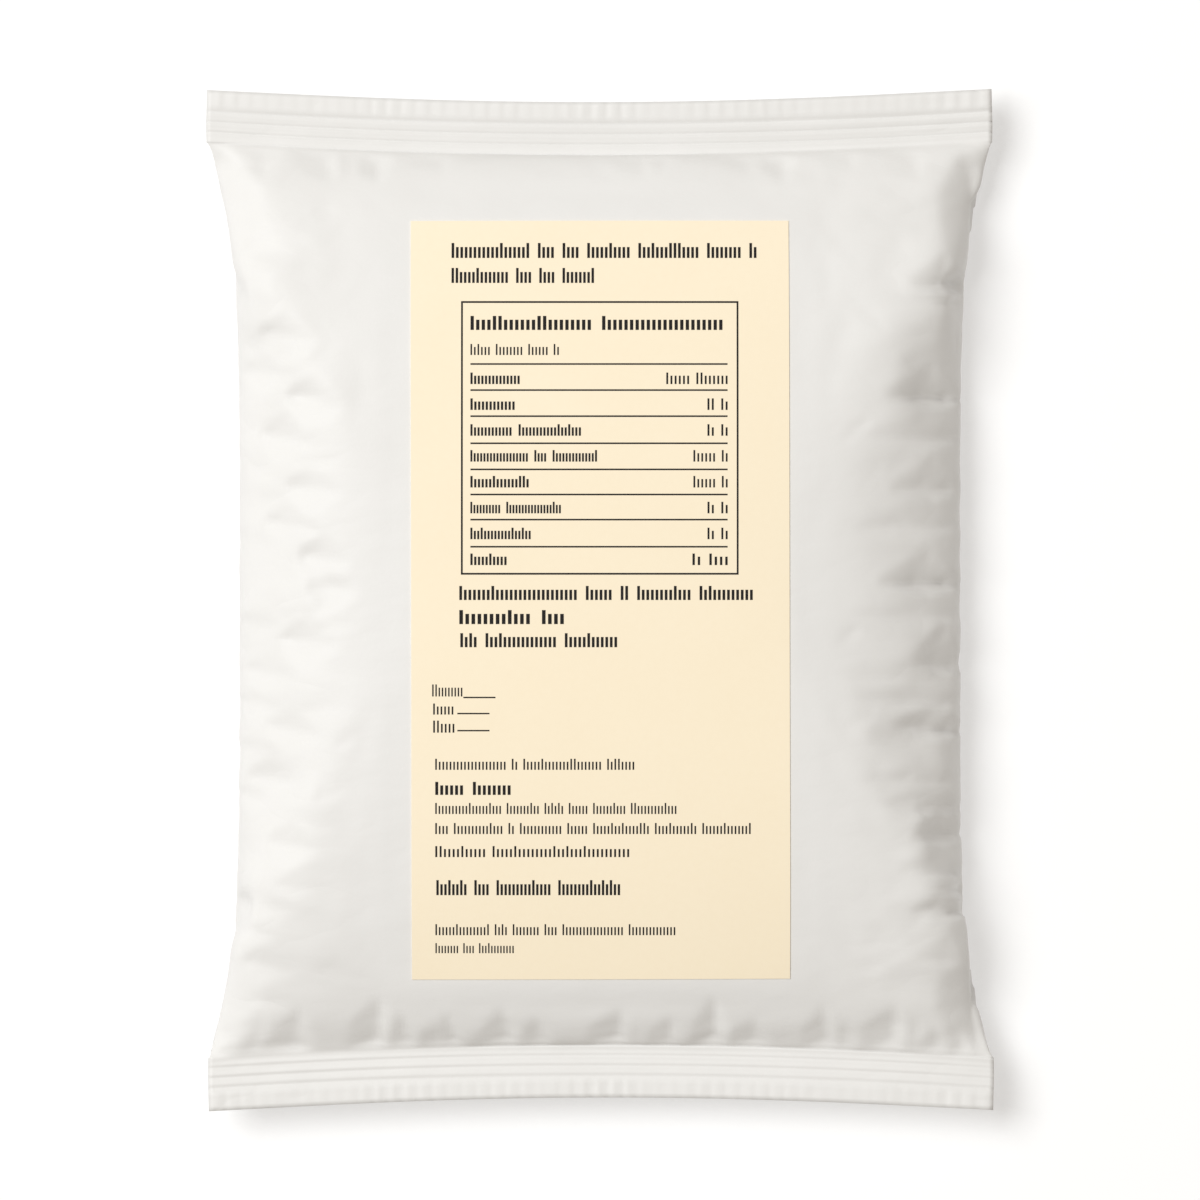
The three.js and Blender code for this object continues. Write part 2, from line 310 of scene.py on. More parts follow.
def cut_edge(side):
    """The cut edge's distance from the middle of the bag, at its centre, and how much more at its ends."""
    points = [v.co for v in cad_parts["bag"].data.vertices]
    reaches = []
    for x in (0.0, half_seal - INSET, INSET - half_seal):
        reaches.append(max(p.y * side for p in points if abs(p.x - x) < NEAR))
    middle, right, left = reaches
    return middle, (right + left) / 2 - middle


EDGES = {side: cut_edge(side) for side in (1, -1)}


def into_seal(x, y):
    """How far a place lies beyond the nearer seal's inner line. It is negative between the seals."""
    middle, bow = EDGES[1 if y > 0 else -1]
    return abs(y) - (middle + bow * (x / half_seal) ** 2 - SEAL_HEIGHT)


print("cut edges, mm:", {side: [round(n / MM, 2) for n in edge] for side, edge in EDGES.items()})

# %% [markdown]
# ### Refine the bag
#
# The solid bag has the right form but only one point for every five millimetres. It is copied, its loose
# triangles are joined and paired into squares again, and it is subdivided twice, which also rounds it off.
# The cut edges and the line where each seal begins are creased first. Without that the rounding would pull
# the cut edges inwards, and the filled film would run into the seal without a break.

# %% Refine the bag
SEAL_LINE_CREASE = 0.7
SQUARE = math.radians(75)  # the least angle between two faces that counts as a square edge
ON_LINE = 0.5 * MM


def refined_copy(node, name, levels, creased):
    """A copy of a solid with its triangles paired into squares and subdivided. creased(edge) says how sharp
    an edge stays, from 0 to 1."""
    piece = bpy.data.objects.new(name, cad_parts[node].data.copy())
    scene.collection.objects.link(piece)
    bpy.ops.object.select_all(action="DESELECT")
    bpy.context.view_layer.objects.active = piece
    piece.select_set(True)
    bpy.ops.object.mode_set(mode="EDIT")
    bpy.ops.mesh.select_all(action="SELECT")
    bpy.ops.mesh.remove_doubles(threshold=0.01 * MM)
    bpy.ops.mesh.tris_convert_to_quads(face_threshold=math.pi, shape_threshold=math.pi)
    shape = bmesh.from_edit_mesh(piece.data)
    sharpness = shape.edges.layers.float.new("crease_edge")
    for edge in shape.edges:
        edge[sharpness] = creased(edge)
    bmesh.update_edit_mesh(piece.data)
    bpy.ops.object.mode_set(mode="OBJECT")
    subdivide(piece, levels)
    piece.data.materials.clear()
    return piece


def subdivide(piece, levels):
    """Subdivides a piece and rounds it off."""
    surface = piece.modifiers.new("subdivide", "SUBSURF")
    surface.levels = levels
    surface.render_levels = levels
    bpy.context.view_layer.objects.active = piece
    bpy.ops.object.modifier_apply(modifier=surface.name)


def square_edge(edge):
    """Sharp where two faces meet at about a right angle."""
    return 1.0 if edge.calc_face_angle(0.0) > SQUARE else 0.0


def bag_edge(edge):
    """Sharp round the seals, and partly along the line where a seal begins."""
    beyond = [into_seal(v.co.x, v.co.y) for v in edge.verts]
    if max(abs(amount) for amount in beyond) < ON_LINE:
        return SEAL_LINE_CREASE
    return square_edge(edge) if min(beyond) > -ON_LINE else 0.0


bag = refined_copy("bag", "film_bag", 1, bag_edge)
print("bag faces after one subdivision:", len(bag.data.polygons))

# %% [markdown]
# In the photograph both cut edges bow in by three millimetres, a little more than the solid's. So the ends
# of the bag are eased inwards at the middle, and where the seals lie is brought up to date.

# %% Bow the ends
MORE_BOW = 1.4 * MM
BOW_FROM = 95 * MM
BOW_FULL = 113 * MM
for vertex in bag.data.vertices:
    x, y, _ = vertex.co
    eased = MORE_BOW * (1 - (x / half_seal) ** 2) * ramp(abs(y), BOW_FROM, BOW_FULL)
    vertex.co.y -= math.copysign(eased, y)
EDGES = {side: (middle - MORE_BOW, bow + MORE_BOW) for side, (middle, bow) in EDGES.items()}
print("seals bow by, mm:", [round(bow / MM, 2) for _, bow in EDGES.values()])

# %% [markdown]
# Film that can't stretch creases where it has more length than it needs: along both flanks, and in a row of
# pleats beside each seal. Each crease is a dent with flat sides: a valley that opens from its tip, with a
# facet on each side of it. Where the facet faces away from the light it shows as a dark triangle with a
# sharp base. The larger creases are listed one by one, from the bag's middle in millimetres. Those on a
# flank close again at the side, so that the bag's outline stays smooth.

# %% Place the creases
SIDE_AT_MIDDLE = 90.5  # the sides' distance from the middle line
SIDE_FLARE = 8.0  # how much farther out they are at a seal
FLARE_REACH = 114.0  # how far a seal's corners are from the bag's middle


def side_at(y):
    """How far out a side lies, seen from above. All in millimetres."""
    return SIDE_AT_MIDDLE + SIDE_FLARE * (abs(y) / FLARE_REACH) ** 5


# On the flanks: the foot's place along the bag, the tip's distance from the middle line, the depth, and the
# widths of the facets towards the top seal and towards the bottom seal.
RIGHT_FLANK = [(78.3, 77.5, 3.0, 9, 2.6), (74, 72, 0.8, 4, 3), (49.9, 71, 3.0, 9.5, 2.6),
               (40.6, 65, 1.1, 6, 4), (27.6, 72.5, 2.0, 9, 3.5), (18.3, 62, 0.8, 5, 4),
               (3.3, 68.5, 3.0, 9.5, 2.6), (-4, 62, 0.8, 5, 4), (-17, 76.5, 2.3, 12, 3),
               (-20, 57, 0.6, 5, 4), (-26.5, 64, 1.4, 6.5, 3), (-33.4, 73, 2.9, 9, 2.6),
               (-45.7, 66, 0.9, 6, 4), (-52.4, 69.5, 1.6, 7, 3), (-59.5, 77.5, 2.7, 9, 2.6),
               (-68.5, 74.5, 1.4, 5.5, 3), (-73, 81, 1.2, 4.5, 3), (-78.5, 77, 2.0, 7, 2.6),
               (-91, 78.5, 1.3, 8, 3), (-98, 83, 1.2, 5, 3), (-103.5, 85, 1.4, 5, 3)]
LEFT_FLANK = [(88, 77, 1.1, 6, 8), (67, 70, 1.6, 7, 9), (57.5, 75, 0.8, 5, 6), (52, 64, 1.1, 6, 8),
              (42, 73, 1.3, 6.5, 7), (29, 64, 1.0, 6, 8), (19.5, 70, 1.4, 6.5, 6), (11.5, 62, 1.2, 6, 9),
              (3.5, 59, 0.9, 5.5, 7), (-5, 80, 0.6, 4, 4), (-9, 64, 1.2, 6, 9), (-17, 75, 0.9, 5, 6),
              (-24.5, 79, 0.7, 4, 5), (-31, 70, 1.0, 5, 7), (-36, 80, 0.6, 4, 4), (-44, 76, 1.1, 6, 5),
              (-48, 80, 0.7, 4, 5), (-60.5, 70.5, 1.2, 6.5, 7), (-75, 75, 1.1, 6, 6),
              (-81.5, 81, 0.7, 4, 4), (-90, 76, 0.8, 5, 7)]
# Beside the seals: the place along the seal and the depth.
BOTTOM_PLEATS = [(-92.5, 0.7), (-86.3, 1.1), (-76, 1.2), (-56.2, 1.7), (-48.2, 1.1), (-40, 0.8),
                 (-36.4, 1.2), (-22.8, 1.4), (-14.8, 1.0), (4.2, 1.5), (9, 0.6), (17, 1.0), (28.6, 1.6),
                 (38.7, 1.0), (57, 1.3), (61.5, 0.6), (73, 1.6), (78.5, 0.6), (91, 1.0)]
TOP_PLEATS = [(-84, 0.8), (-69, 0.8), (-62, 0.6), (-56, 1.0), (-40, 0.4), (10, 0.5), (16, 0.4), (36, 0.4),
              (45.5, 0.7), (62, 0.4), (78, 0.5)]
# At the corners: the tip, the foot, the depth, the facets' widths, the hand, and whether it closes.
CORNER_CREASES = [((89, 78), (97.5, 116), 1.7, (10.5, 5), 1, True),
                  ((88.5, 104), (95.5, 112.5), 1.0, (4, 2.5), 1, True),
                  ((89, -78), (97.5, -116), 1.8, (11, 5), -1, True),
                  ((-77, -106), (-76, -115), 1.2, (19, 3.5), -1, False),
                  ((84, -107), (85, -115), 1.0, (9, 4), -1, False)]
PEAK = 0.6  # where along a crease its facets are widest
DEEPEST = 0.5  # where along it the valley is as deep as it gets
CLOSING = 0.14  # the last share of a crease that closes, in which its valley runs out
TIP_WIDTH = 0.2  # the facets' width at the tip, as a share of their full width
PAST_FOOT = 1.3  # how far a crease goes that doesn't close, as a share of its length
draw = random.Random(7)


class Crease:
    """A dent with flat sides. Its valley runs from its tip to its foot, as seen from above. Its facets have
    their own widths: with hand 1 the first is the one to the left of the way from tip to foot, and with
    hand -1 it is the other."""

    def __init__(self, tip, foot, depth, widths, hand, closes=True):
        self.tip = Vector(tip) * MM
        self.run = Vector(foot) * MM - self.tip
        self.length = self.run.length
        self.run.normalize()
        self.depth = depth * MM
        self.widths = [width * MM for width in widths]
        self.hand = hand
        self.closes = closes
        ends = (self.tip.y, self.tip.y + self.run.y * self.length * PAST_FOOT)
        self.lowest = min(ends) - max(self.widths)
        self.highest = max(ends) + max(self.widths)

    def depth_at(self, x, y):
        """How far the film is pressed in there."""
        away_x, away_y = x - self.tip.x, y - self.tip.y
        along = (away_x * self.run.x + away_y * self.run.y) / self.length
        if not 0.0 < along < (1.0 if self.closes else PAST_FOOT):
            return 0.0
        opening = min(along / PEAK, 1.0)
        deepness = min(along / DEEPEST, 1.0)
        if self.closes:
            opening = min(opening, (1.0 - along) / (1.0 - PEAK))
            deepness = min(deepness, (1.0 - along) / CLOSING)
        aside = (self.run.x * away_y - self.run.y * away_x) * self.hand
        width = self.widths[0 if aside > 0 else 1] * (TIP_WIDTH + (1.0 - TIP_WIDTH) * opening)
        return self.depth * deepness * max(1.0 - abs(aside) / width, 0.0)


SLANT = {1: (0.0, 1.8), -1: (-3.5, -1.5)}  # how much higher the tip may lie than the foot, on each flank
TIP_SWAY = 1
PAST_SIDE = 0.3
LEFT_LONGEST = (12, 16)


def flank_creases(folds, side):
    """Creases across a flank. Those on the left one may end before they reach the side."""
    creases = []
    for y, tip_x, depth, upper, lower in folds:
        slant = draw.uniform(*SLANT[side])
        tip_x += draw.uniform(-TIP_SWAY, TIP_SWAY)
        foot_x = side_at(y) + PAST_SIDE
        if side < 0:
            foot_x = min(foot_x, tip_x + draw.uniform(*LEFT_LONGEST))
        creases.append(Crease((side * tip_x, y + slant), (side * foot_x, y), depth, (upper, lower), side))
    return creases


PLEAT_LENGTH = (8, 11)  # of a pleat that is a little over a millimetre deep
PLEAT_SWAY = 2
PLEAT_BROAD = (5.5, 8)
PLEAT_NARROW = (3.2, 4.6)


def pleats(folds, side):
    """Creases that run into a seal and are widest there. Their broad facets lie to the left."""
    creases = []
    seal_y = (EDGES[side][0] - SEAL_HEIGHT) / MM
    for x, depth in folds:
        reach = draw.uniform(*PLEAT_LENGTH) * (0.4 + 0.5 * depth)
        tip = (x + draw.uniform(-PLEAT_SWAY, PLEAT_SWAY), side * (seal_y - reach))
        foot = (x, side * (seal_y + 1))
        widths = (draw.uniform(*PLEAT_BROAD), draw.uniform(*PLEAT_NARROW))
        creases.append(Crease(tip, foot, depth, widths, side, closes=False))
    return creases


SMALL_CREASES = 36  # on each flank
SMALL_X = (58, 78)
SMALL_Y = (-102, 102)
SMALL_LENGTH = (8, 16)
SMALL_TURN = 22  # in degrees
SMALL_BROAD = (3, 5.5)
SMALL_NARROW = (1.8, 3)
SMALL_DEPTH = (0.12, 0.38)


def small_creases(count, side):
    """Short shallow creases, scattered over a flank, that point roughly outwards."""
    creases = []
    for _ in range(count):
        x = draw.uniform(*SMALL_X)
        y = draw.uniform(*SMALL_Y)
        length = draw.uniform(*SMALL_LENGTH)
        turn = math.radians(draw.gauss(0, SMALL_TURN))
        tip = (side * x, y)
        foot = (side * (x + length * math.cos(turn)), y + length * math.sin(turn))
        widths = (draw.uniform(*SMALL_BROAD), draw.uniform(*SMALL_NARROW))
        creases.append(Crease(tip, foot, draw.uniform(*SMALL_DEPTH), widths, side))
    return creases


large = flank_creases(RIGHT_FLANK, 1) + flank_creases(LEFT_FLANK, -1)
large += pleats(BOTTOM_PLEATS, -1) + pleats(TOP_PLEATS, 1)
large += [Crease(*numbers) for numbers in CORNER_CREASES]
small = small_creases(SMALL_CREASES, 1) + small_creases(SMALL_CREASES, -1)
print("creases:", len(large), "large and", len(small), "small")

# %% [markdown]
# ### Settle the film
#
# Creases that are only placed look drawn on. So before they are pressed in, the film wrinkles by itself, in
# Blender's Cloth. Its rest shape is the bag a little longer along both flanks, which is the spare length
# that a flat tube has there once it's filled, and a soft pressure from inside stands in for the sugar. The
# seals, the flat underside and the place under the label hold still. Cloth works best near one unit in
# size, so the bag is scaled up for it and back down after it.

# %% Let the flanks wrinkle
CLOTH_SCALE = 10
CLOTH_FRAMES = 30
SPARE_LENGTH = 0.03  # how much longer the film is along the sides, as a share
SPARE_WIDTH = 0.01  # how much wider it is near the seals
SEED_HEIGHT = 1.0 * MM  # the unevenness that the wrinkles start from,
SEED_ALONG = 130  # and how many times a metre it changes along the bag
SEED_ACROSS = 40  # and across it
UPPER_SIDE = 18 * MM  # film over this height is on the upper side
LEAST_HOLD = 0.001  # every point is in the group that holds still, most of them by next to nothing
LABEL_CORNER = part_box("label")[1]
LABEL_HALF = Vector((LABEL_CORNER[0], LABEL_CORNER[1]))


def under_label(x, y):
    """1 under the label, 0 from a centimetre beside it."""
    inside = min(LABEL_HALF.x - abs(x), LABEL_HALF.y - abs(y))
    return ramp(inside, -9 * MM, 3 * MM)


def wrinkle(piece):
    """Runs Cloth on the bag."""
    places = [v.co.copy() for v in piece.data.vertices]
    normals = [v.normal.copy() for v in piece.data.vertices]
    held = piece.vertex_groups.new(name="held")
    for k, place in enumerate(places):
        seal = ramp(into_seal(place.x, place.y), -1.5 * MM, 0.0)
        under = ramp(place.z, 1.5 * MM, 0.3 * MM)
        label = under_label(place.x, place.y) if place.z > UPPER_SIDE else 0.0
        held.add([k], max(seal, under, label, LEAST_HOLD), "REPLACE")
        flank = ramp(abs(place.x), 55 * MM, 80 * MM) * ramp(place.z, 2 * MM, 8 * MM)
        spot = Vector((place.x * SEED_ACROSS + 3, place.y * SEED_ALONG, place.z * SEED_ACROSS))
        seed = noise.noise(spot)
        start = place + normals[k] * (seed * flank * (1 - seal) * SEED_HEIGHT)
        piece.data.vertices[k].co = start * CLOTH_SCALE
    piece.shape_key_add(name="Basis")
    rest = piece.shape_key_add(name="rest")
    for k, point in enumerate(rest.data):
        x, y, z = piece.data.vertices[k].co
        longer = 1 + SPARE_LENGTH * (x / CLOTH_SCALE / half_seal) ** 2
        wider = 1 + SPARE_WIDTH * ramp(abs(y) / CLOTH_SCALE, 80 * MM, 108 * MM)
        point.co = (x * wider, y * longer, z)
    cloth = piece.modifiers.new("cloth", "CLOTH")
    settings = cloth.settings
    settings.quality = 8
    settings.mass = 0.3
    settings.tension_stiffness = settings.compression_stiffness = 80
    settings.shear_stiffness = 40
    settings.bending_stiffness = 0.1
    settings.tension_damping = settings.compression_damping = settings.shear_damping = 10
    settings.bending_damping = 0.5
    settings.air_damping = 2
    settings.rest_shape_key = rest
    settings.use_pressure = True
    settings.uniform_pressure_force = 0.3
    settings.effector_weights.gravity = 0
    settings.vertex_group_mass = held.name
    settings.pin_stiffness = 10
    cloth.collision_settings.use_collision = False
    cloth.point_cache.frame_end = CLOTH_FRAMES
    for number in range(1, CLOTH_FRAMES + 1):
        scene.frame_set(number)
    bpy.ops.object.select_all(action="DESELECT")
    piece.select_set(True)
    bpy.context.view_layer.objects.active = piece
    bpy.ops.object.convert(target="MESH")
    piece.vertex_groups.clear()
    moves = []
    for vertex, place in zip(piece.data.vertices, places):
        vertex.co /= CLOTH_SCALE
        moves.append((vertex.co - place).length)
    moves.sort()
    print("cloth moved points by, mm: median", round(moves[len(moves) // 2] / MM, 2),
          "most", round(moves[-1] / MM, 2))


wrinkle(bag)
subdivide(bag, 1)
print("bag points:", len(bag.data.vertices))

# %% [markdown]
# ### Keep the outline
#
# Wrinkling draws the sides in, more in some places than in others. Seen from above, the real bag's sides
# are smooth and nearly straight, and flare out to the seals over the last few centimetres. So each side's
# outline is measured in slices, smoothed, and moved to where it should be. What moves is the broad outline,
# and the small creases on it stay.

# %% Fit the sides
SLICE = 3 * MM
FIT_SHARE = 0.85
MOVES_FROM = 55 * MM  # what is nearer the middle line than this stays,
MOVES_FULLY = 88 * MM  # and what is farther out than this moves with the side


def fit_outline(piece):
    """Moves the sides to the wanted outline. The seals stay where they are."""
    count = int(FLARE_REACH * MM / SLICE)
    for side in (1, -1):
        reach = {}
        for vertex in piece.data.vertices:
            number = round(vertex.co.y / SLICE)
            reach[number] = max(reach.get(number, 0.0), vertex.co.x * side)
        missing = {}
        for number in range(-count, count + 1):
            missing[number] = side_at(number * SLICE / MM) * MM - reach[number]
        smooth = {}
        for number in missing:
            near = [missing[k] for k in range(number - 1, number + 2) if k in missing]
            smooth[number] = FIT_SHARE * sum(near) / len(near)
        for vertex in piece.data.vertices:
            x, y = vertex.co.x * side, vertex.co.y
            if x < MOVES_FROM or abs(y) >= count * SLICE:
                continue
            number = math.floor(y / SLICE)
            share = y / SLICE - number
            move = smooth[number] * (1 - share) + smooth[number + 1] * share
            move *= ramp(into_seal(vertex.co.x, y), 0.5 * MM, -4.5 * MM)
            vertex.co.x += side * move * ramp(x, MOVES_FROM, MOVES_FULLY)
        moves = sorted(smooth.values())
        print("outline moved, mm: from", round(moves[0] / MM, 1), "to", round(moves[-1] / MM, 1))


fit_outline(bag)

# %% [markdown]
# The full bag stands up steeply from its seals, and there's a sharp line between the two. Subdivision made
# that a soft curve. So the film next to a seal is moved closer to it, and it is steepest in the first
# few millimetres. The same is done along the sides near the corners, where the bag has a narrow wall.

# %% Stand the film up from the seals
CLOSER = 1.25 * MM  # the most that a point moves,
CLOSER_AT = 4 * MM  # which is at this distance from the line


def closer(away):
    """How far a point moves towards a line, by its distance from the line in units of CLOSER_AT."""
    return CLOSER * away * math.exp(1.0 - away) if away > 0.0 else 0.0


for vertex in bag.data.vertices:
    x, y, _ = vertex.co
    to_seal = -into_seal(x, y) / CLOSER_AT
    to_side = (side_at(y / MM) * MM - abs(x)) / CLOSER_AT
    corner = ramp(to_seal, 0.0, 1.0) * ramp(to_seal, 9.0, 6.0)  # near a seal, but not on it
    vertex.co.y += math.copysign(closer(to_seal), y)
    vertex.co.x += math.copysign(closer(to_side) * corner, x)
bag.data.update()

# %% [markdown]
# ### Press the creases, the ribs and the seam
#
# The mesh is now fine enough, with a point for every millimetre, for the placed creases and for what the
# crimping jaws leave: flat ribs along each seal with three narrow grooves between them, and short cross
# marks along its outer third. On the underside the tube was closed by a lengthwise seam, which shows as two
# shallow lines. The underside rests on the table, so the seam only lifts film and never lowers it.

# %% Press in the fine forms
RIB_PITCH = 2.3 * MM  # of the solid's ribs,
RIB_LEFT = 0.12 * MM  # and what subdivision left of them, which is levelled out first
GROOVE_PITCH = 2.55 * MM
GROOVE_DEPTHS = {1: 0.36 * MM, -1: 0.165 * MM}  # in the top seal and in the bottom seal
GROOVE_WIDTH = 0.32 * MM
TICKS_FROM = 8.4 * MM  # how far beyond a seal's inner line the cross marks begin,
TICKS_FULLY = 9.4 * MM  # and where they are full
TICK_PITCH = 3.7 * MM
TICK_DEPTH = 0.2 * MM
SEAM_HALF = 7.5 * MM
SEAM_LIFT = 0.35 * MM
CREASES_FROM = 3 * MM  # creases begin at this height over the table,
CREASES_FULLY = 10 * MM  # and are full from this one
ROOM_SHARE = 0.7  # the share of the film's height over the seals that a crease beside one may take,
ROOM_NEAR = 10 * MM  # which holds this near to a seal,
ROOM_FAR = 30 * MM  # and is out of force this far from it
NO_LIMIT = 10 * MM  # deeper than any crease
TURNS_UNDER = -0.3  # film whose normal points lower than this has no creases
FACES_DOWN = -0.5  # film whose normal points lower than this,
SEAM_BELOW = 6 * MM  # and that lies under this height, is on the underside


def rib_at(beyond, side):
    """How much the crimped film is lifted: flat ribs with narrow grooves between them."""
    lift = 0.0
    if beyond < 4 * RIB_PITCH:
        lift -= RIB_LEFT * math.sin(2 * math.pi * (beyond - RIB_PITCH / 4) / RIB_PITCH)
    for number in (1, 2, 3):
        lift -= GROOVE_DEPTHS[side] * math.exp(-((beyond - number * GROOVE_PITCH) / GROOVE_WIDTH) ** 2)
    return lift


def tick_at(x, beyond):
    """Cross marks on a seal's outer band, uneven in strength and place."""
    band = ramp(beyond, TICKS_FROM, TICKS_FULLY)
    if band == 0.0:
        return 0.0
    place = x + 1.2 * MM * noise.noise(Vector((x * 55, 7.7, 0)))
    strength = 0.6 + 0.9 * noise.noise(Vector((x * 90, 1.3, 0)))
    return TICK_DEPTH * band * max(strength, 0.0) * math.cos(2 * math.pi * place / TICK_PITCH)


def press(piece):
    """Presses the creases into the fine mesh, along its normals, and the ribs and the seam straight down
    or up."""
    normals = [v.normal.copy() for v in piece.data.vertices]
    deepest = 0.0
    for vertex, normal in zip(piece.data.vertices, normals):
        x, y, z = vertex.co
        beyond = into_seal(x, y)
        if beyond > 0:
            vertex.co.z += rib_at(beyond, 1 if y > 0 else -1) + tick_at(x, beyond)
            continue
        pressed = 0.0
        if normal.z > TURNS_UNDER:
            near = [c for c in large if c.lowest < y < c.highest]
            pressed = max((c.depth_at(x, y) for c in near), default=0.0)
            pressed += sum(c.depth_at(x, y) for c in small if c.lowest < y < c.highest)
            allowed = ramp(z, CREASES_FROM, CREASES_FULLY) * (1 - under_label(x, y))
            pressed *= allowed * ramp(beyond, 0.0, -1.2 * MM)
            room = ROOM_SHARE * max(z - SEAL_LEVEL, 0.0)
            pressed = min(pressed, room + ramp(beyond, -ROOM_NEAR, -ROOM_FAR) * NO_LIMIT)
        deepest = max(deepest, pressed)
        vertex.co -= normal * pressed
        if normal.z < FACES_DOWN and z < SEAM_BELOW:
            line = abs(abs(x) - SEAM_HALF)
            vertex.co.z += SEAM_LIFT * ramp(line, 1.4 * MM, 0.0) * ramp(beyond, 0.0, -6 * MM)
    print("deepest crease, mm:", round(deepest / MM, 2))


press(bag)

# %% [markdown]
# At the corners the filled tube's side ends in a small three-cornered wall, because the seal holds the film
# flat and the sugar doesn't. Both layers of film turn down there towards the outline. Then the sides are
# fitted once more, because the creases have drawn them in a little.

# %% Turn the corners down
CORNER_DIP = 2.6 * MM
DIP_WIDTH = 11 * MM  # how far in from the side the film begins to turn down
DIP_FROM = 0.5 * MM  # how far from the seal the dip begins,
DIP_FULLY = (7 * MM, 10 * MM)  # between which places it is full,
DIP_END = 28 * MM  # and where it has run out
for vertex in bag.data.vertices:
    x, y, _ = vertex.co
    to_side = side_at(y / MM) * MM - abs(x)
    to_seal = -into_seal(x, y)
    share = ramp(to_side, DIP_WIDTH, 0.0) * ramp(to_seal, DIP_FROM, DIP_FULLY[0])
    share *= ramp(to_seal, DIP_END, DIP_FULLY[1])
    vertex.co.z -= CORNER_DIP * share
fit_outline(bag)

# %% [markdown]
# The bag's form is complete. It gets the film's finish and soft shading, and takes the solid bag's place.

# %% Finish the bag
bag.data.materials.append(film.material)
bpy.ops.object.select_all(action="DESELECT")
bag.select_set(True)
bpy.context.view_layer.objects.active = bag
bpy.ops.object.shade_smooth_by_angle(angle=math.radians(50))
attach(bag, "root")
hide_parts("bag")
print("bag triangles:", 2 * len(bag.data.polygons))

# %% [markdown]
# ## The label
#
# The paper is a thin sheet with crisp square corners. The solid label floats three tenths of a millimetre
# above the solid bag, so that the two never overlap. Its refined copy is laid on the refined film instead:
# each point keeps its place from above, and takes its height from the film straight under it.

# %% Lay the label on the film
PAPER_THICKNESS = 0.25 * MM
GLUE_GAP = 0.03 * MM


def height_finder(piece):
    """Gives a function that finds how high a piece's upper side is at a place."""
    graph = bpy.context.evaluated_depsgraph_get()
    graph.update()
    target = piece.evaluated_get(graph)

    def height(x, y):
        hit, point, _, _ = target.ray_cast(Vector((x, y, 0.1)), Vector((0, 0, -1)))
        return point.z if hit else None

    return height


label = refined_copy("label", "paper_label", 2, square_edge)
film_height = height_finder(bag)
undersides = [v.normal.z < 0 for v in label.data.vertices]
for vertex, underside in zip(label.data.vertices, undersides):
    x, y, _ = vertex.co
    vertex.co.z = film_height(x, y) + GLUE_GAP + (0.0 if underside else PAPER_THICKNESS)
label.data.materials.append(paper.material)
bpy.ops.object.select_all(action="DESELECT")
label.select_set(True)
bpy.context.view_layer.objects.active = label
bpy.ops.object.shade_smooth_by_angle(angle=math.radians(40))
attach(label, "root")
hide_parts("label")
print("label triangles:", 2 * len(label.data.polygons))

# %% [markdown]
# ## The print
#
# The label carries a table in a frame and some lines of text. The text isn't copied: every word becomes a
# row of plain upright strokes, as long and as dark as the word. So the print is a list of lines, each with
# its two ends, its top and bottom and the lengths of its words, in pixels of the photograph, which are
# turned into metres in one place.

# %% List the lines of print
PICTURE_MIDDLE = PICTURE_PIXELS / 2
BOLD = (2.6, 0.6)  # from one word's last stroke to the next word's first, and a stroke's width, in pitches
LIGHT = (2.2, 0.45)
TALL_SHARE = 0.1  # how many of a word's later strokes are as tall as its first
SHORTER = 0.27  # how much shorter the others are, as a share


class Sheet:
    """Flat rectangles, in one mesh, that are later laid on the label."""

    def __init__(self, name):
        bpy.ops.object.select_all(action="DESELECT")
        bpy.ops.mesh.primitive_plane_add(size=1)
        self.piece = bpy.context.object
        self.piece.name = name
        bpy.ops.object.mode_set(mode="EDIT")
        bpy.ops.mesh.delete(type="VERT")
        self.count = 0

    def block(self, left, top, right, bottom):
        """Adds a rectangle, given by pixels of the photograph."""
        x = ((left + right) / 2 - PICTURE_MIDDLE) * pixel
        y = (PICTURE_MIDDLE - (top + bottom) / 2) * pixel
        bpy.ops.mesh.primitive_plane_add(size=1, location=(x, y, 0))
        size = ((right - left) * pixel, (bottom - top) * pixel, 1)
        bpy.ops.transform.resize(value=size, center_override=(x, y, 0))
        self.count += 1

    def words(self, left, right, top, bottom, counts, bold):
        """Adds a row of words, as evenly spaced upright strokes, that fills the width between its ends."""
        strokes = [2 * count for count in counts]
        space, thick = BOLD if bold else LIGHT
        pitches = sum(strokes) + (space - 1) * (len(strokes) - 1) - (1 - thick)
        pitch = (right - left) / pitches
        x = left
        for count in strokes:
            for number in range(count):
                tall = number == 0 or draw.random() < TALL_SHARE
                level = top if tall else top + SHORTER * (bottom - top)
                self.block(x, level, x + pitch * thick, bottom)
                x += pitch
            x += (space - 1) * pitch


printed = Sheet("label_print")
BOLD_LINES = [(452, 756, 244, 259, (9, 2, 2, 5, 7, 4, 1)), (452, 594, 269, 284, (7, 2, 2, 4)),
              (471, 722, 317, 331, (11, 11)), (460, 752, 586, 600, (13, 3, 1, 6, 6)),
              (460, 564, 610, 624, (6, 2)), (461, 617, 633, 647, (2, 8, 6)), (436, 511, 781, 794, (3, 4)),
              (437, 620, 879, 894, (4, 2, 7, 8))]
LIGHT_LINES = [(471, 559, 345, 356, (3, 4, 3, 1)), (433, 463, 684, 696, (5,)), (434, 454, 703, 714, (3,)),
               (434, 455, 720, 732, (3,)), (436, 634, 758, 769, (10, 1, 11, 4)),
               (436, 676, 802, 813, (10, 5, 3, 3, 5, 7)), (436, 750, 822, 833, (2, 7, 1, 6, 3, 8, 6, 7)),
               (436, 629, 845, 856, (6, 16)), (436, 675, 923, 934, (8, 2, 4, 2, 9, 7)),
               (436, 514, 942, 952, (4, 2, 6))]
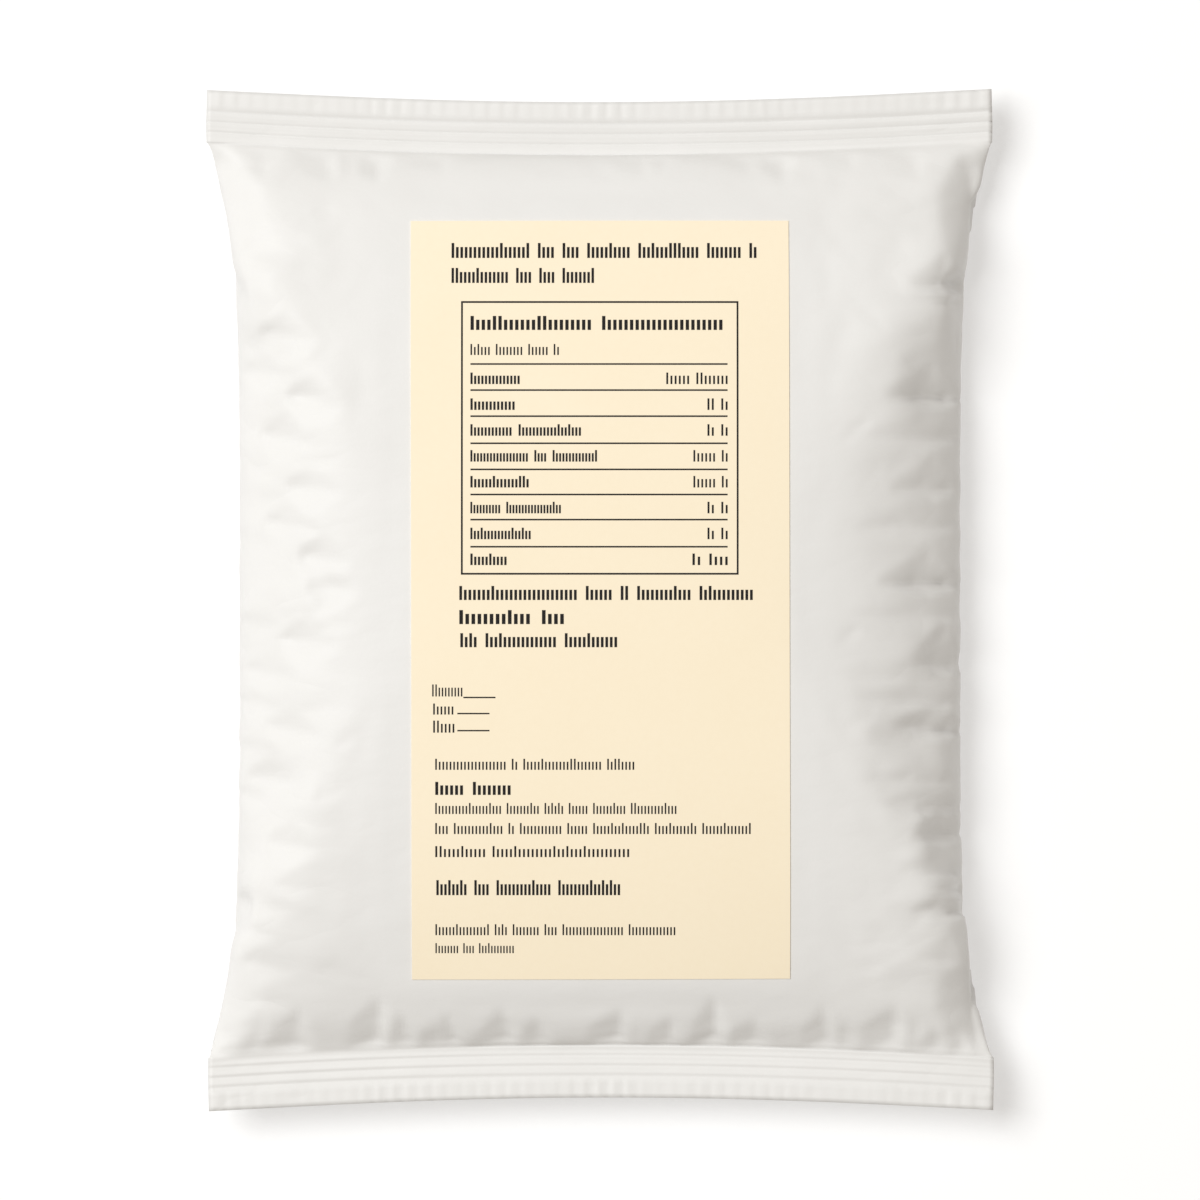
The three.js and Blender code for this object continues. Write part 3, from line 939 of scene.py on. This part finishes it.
ROW_LEFT_ENDS = [(520, (7,)), (515, (6,)), (581, (6, 9)), (597, (9, 2, 7)), (529, (8,)), (561, (5, 9)),
                 (531, (9,)), (507, (5,))]
ROW_RIGHT_STARTS = [(666, (3, 4)), (707, (1, 1)), (707, (1, 1)), (693, (3, 1)), (693, (3, 1)),
                    (707, (1, 1)), (707, (1, 1)), (692, (1, 2))]
TABLE_LEFT = 471
TABLE_RIGHT = 727
ROW_TOP = 373.5
ROW_STEP = 25.75
ROW_TALL = 11.5
RULES = [365, 391, 417, 444, 470, 495, 520, 547]
RULE_HALF = 0.8
FRAME_HALF = 0.9
FRAME_SIDES = (462.5, 737)
FRAME_ENDS = (303.1, 573.9)
UNDERLINES = ((464, 496, 697), (458, 490, 713), (458, 490, 730))
UNDERLINE_HALF = 0.7

for left, right, top, bottom, counts in BOLD_LINES:
    printed.words(left, right, top, bottom, counts, True)
for left, right, top, bottom, counts in LIGHT_LINES:
    printed.words(left, right, top, bottom, counts, False)
for row, ((right, names), (left, values)) in enumerate(zip(ROW_LEFT_ENDS, ROW_RIGHT_STARTS)):
    top = ROW_TOP + row * ROW_STEP
    printed.words(TABLE_LEFT, right, top, top + ROW_TALL, names, True)
    printed.words(left, TABLE_RIGHT, top, top + ROW_TALL, values, False)
for y in RULES:
    printed.block(TABLE_LEFT, y - RULE_HALF, TABLE_RIGHT, y + RULE_HALF)
for x in FRAME_SIDES:
    printed.block(x - FRAME_HALF, FRAME_ENDS[0] - FRAME_HALF, x + FRAME_HALF, FRAME_ENDS[1] + FRAME_HALF)
for y in FRAME_ENDS:
    printed.block(FRAME_SIDES[0] + FRAME_HALF, y - FRAME_HALF, FRAME_SIDES[1] - FRAME_HALF, y + FRAME_HALF)
for left, right, y in UNDERLINES:
    printed.block(left, y - UNDERLINE_HALF, right, y + UNDERLINE_HALF)
print("blocks of print:", printed.count)

# %% [markdown]
# Long lines have to follow the label's curve. The whole print is cut into squares by planes that stand four
# millimetres apart, laid on the paper like the label on the film, and then given its thickness.

# %% Lay the print on the label
STRIP = 4 * MM
INK_GAP = 0.005 * MM
INK_THICKNESS = 0.03 * MM
for axis, half in ((0, LABEL_HALF.x), (1, LABEL_HALF.y)):
    normal = [0, 0, 0]
    normal[axis] = 1
    for number in range(-int(half / STRIP), int(half / STRIP) + 1):
        bpy.ops.mesh.select_all(action="SELECT")
        place = [0, 0, 0]
        place[axis] = number * STRIP
        bpy.ops.mesh.bisect(plane_co=place, plane_no=normal)
bpy.ops.object.mode_set(mode="OBJECT")
label_height = height_finder(label)
piece = printed.piece
for vertex in piece.data.vertices:
    vertex.co.z = label_height(vertex.co.x, vertex.co.y) + INK_GAP
thickness = piece.modifiers.new("thickness", "SOLIDIFY")
thickness.thickness = INK_THICKNESS
thickness.offset = 1
bpy.context.view_layer.objects.active = piece
bpy.ops.object.modifier_apply(modifier=thickness.name)
piece.data.materials.append(ink.material)
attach(piece, "root")
print("print triangles:", sum(len(p.vertices) - 2 for p in piece.data.polygons))
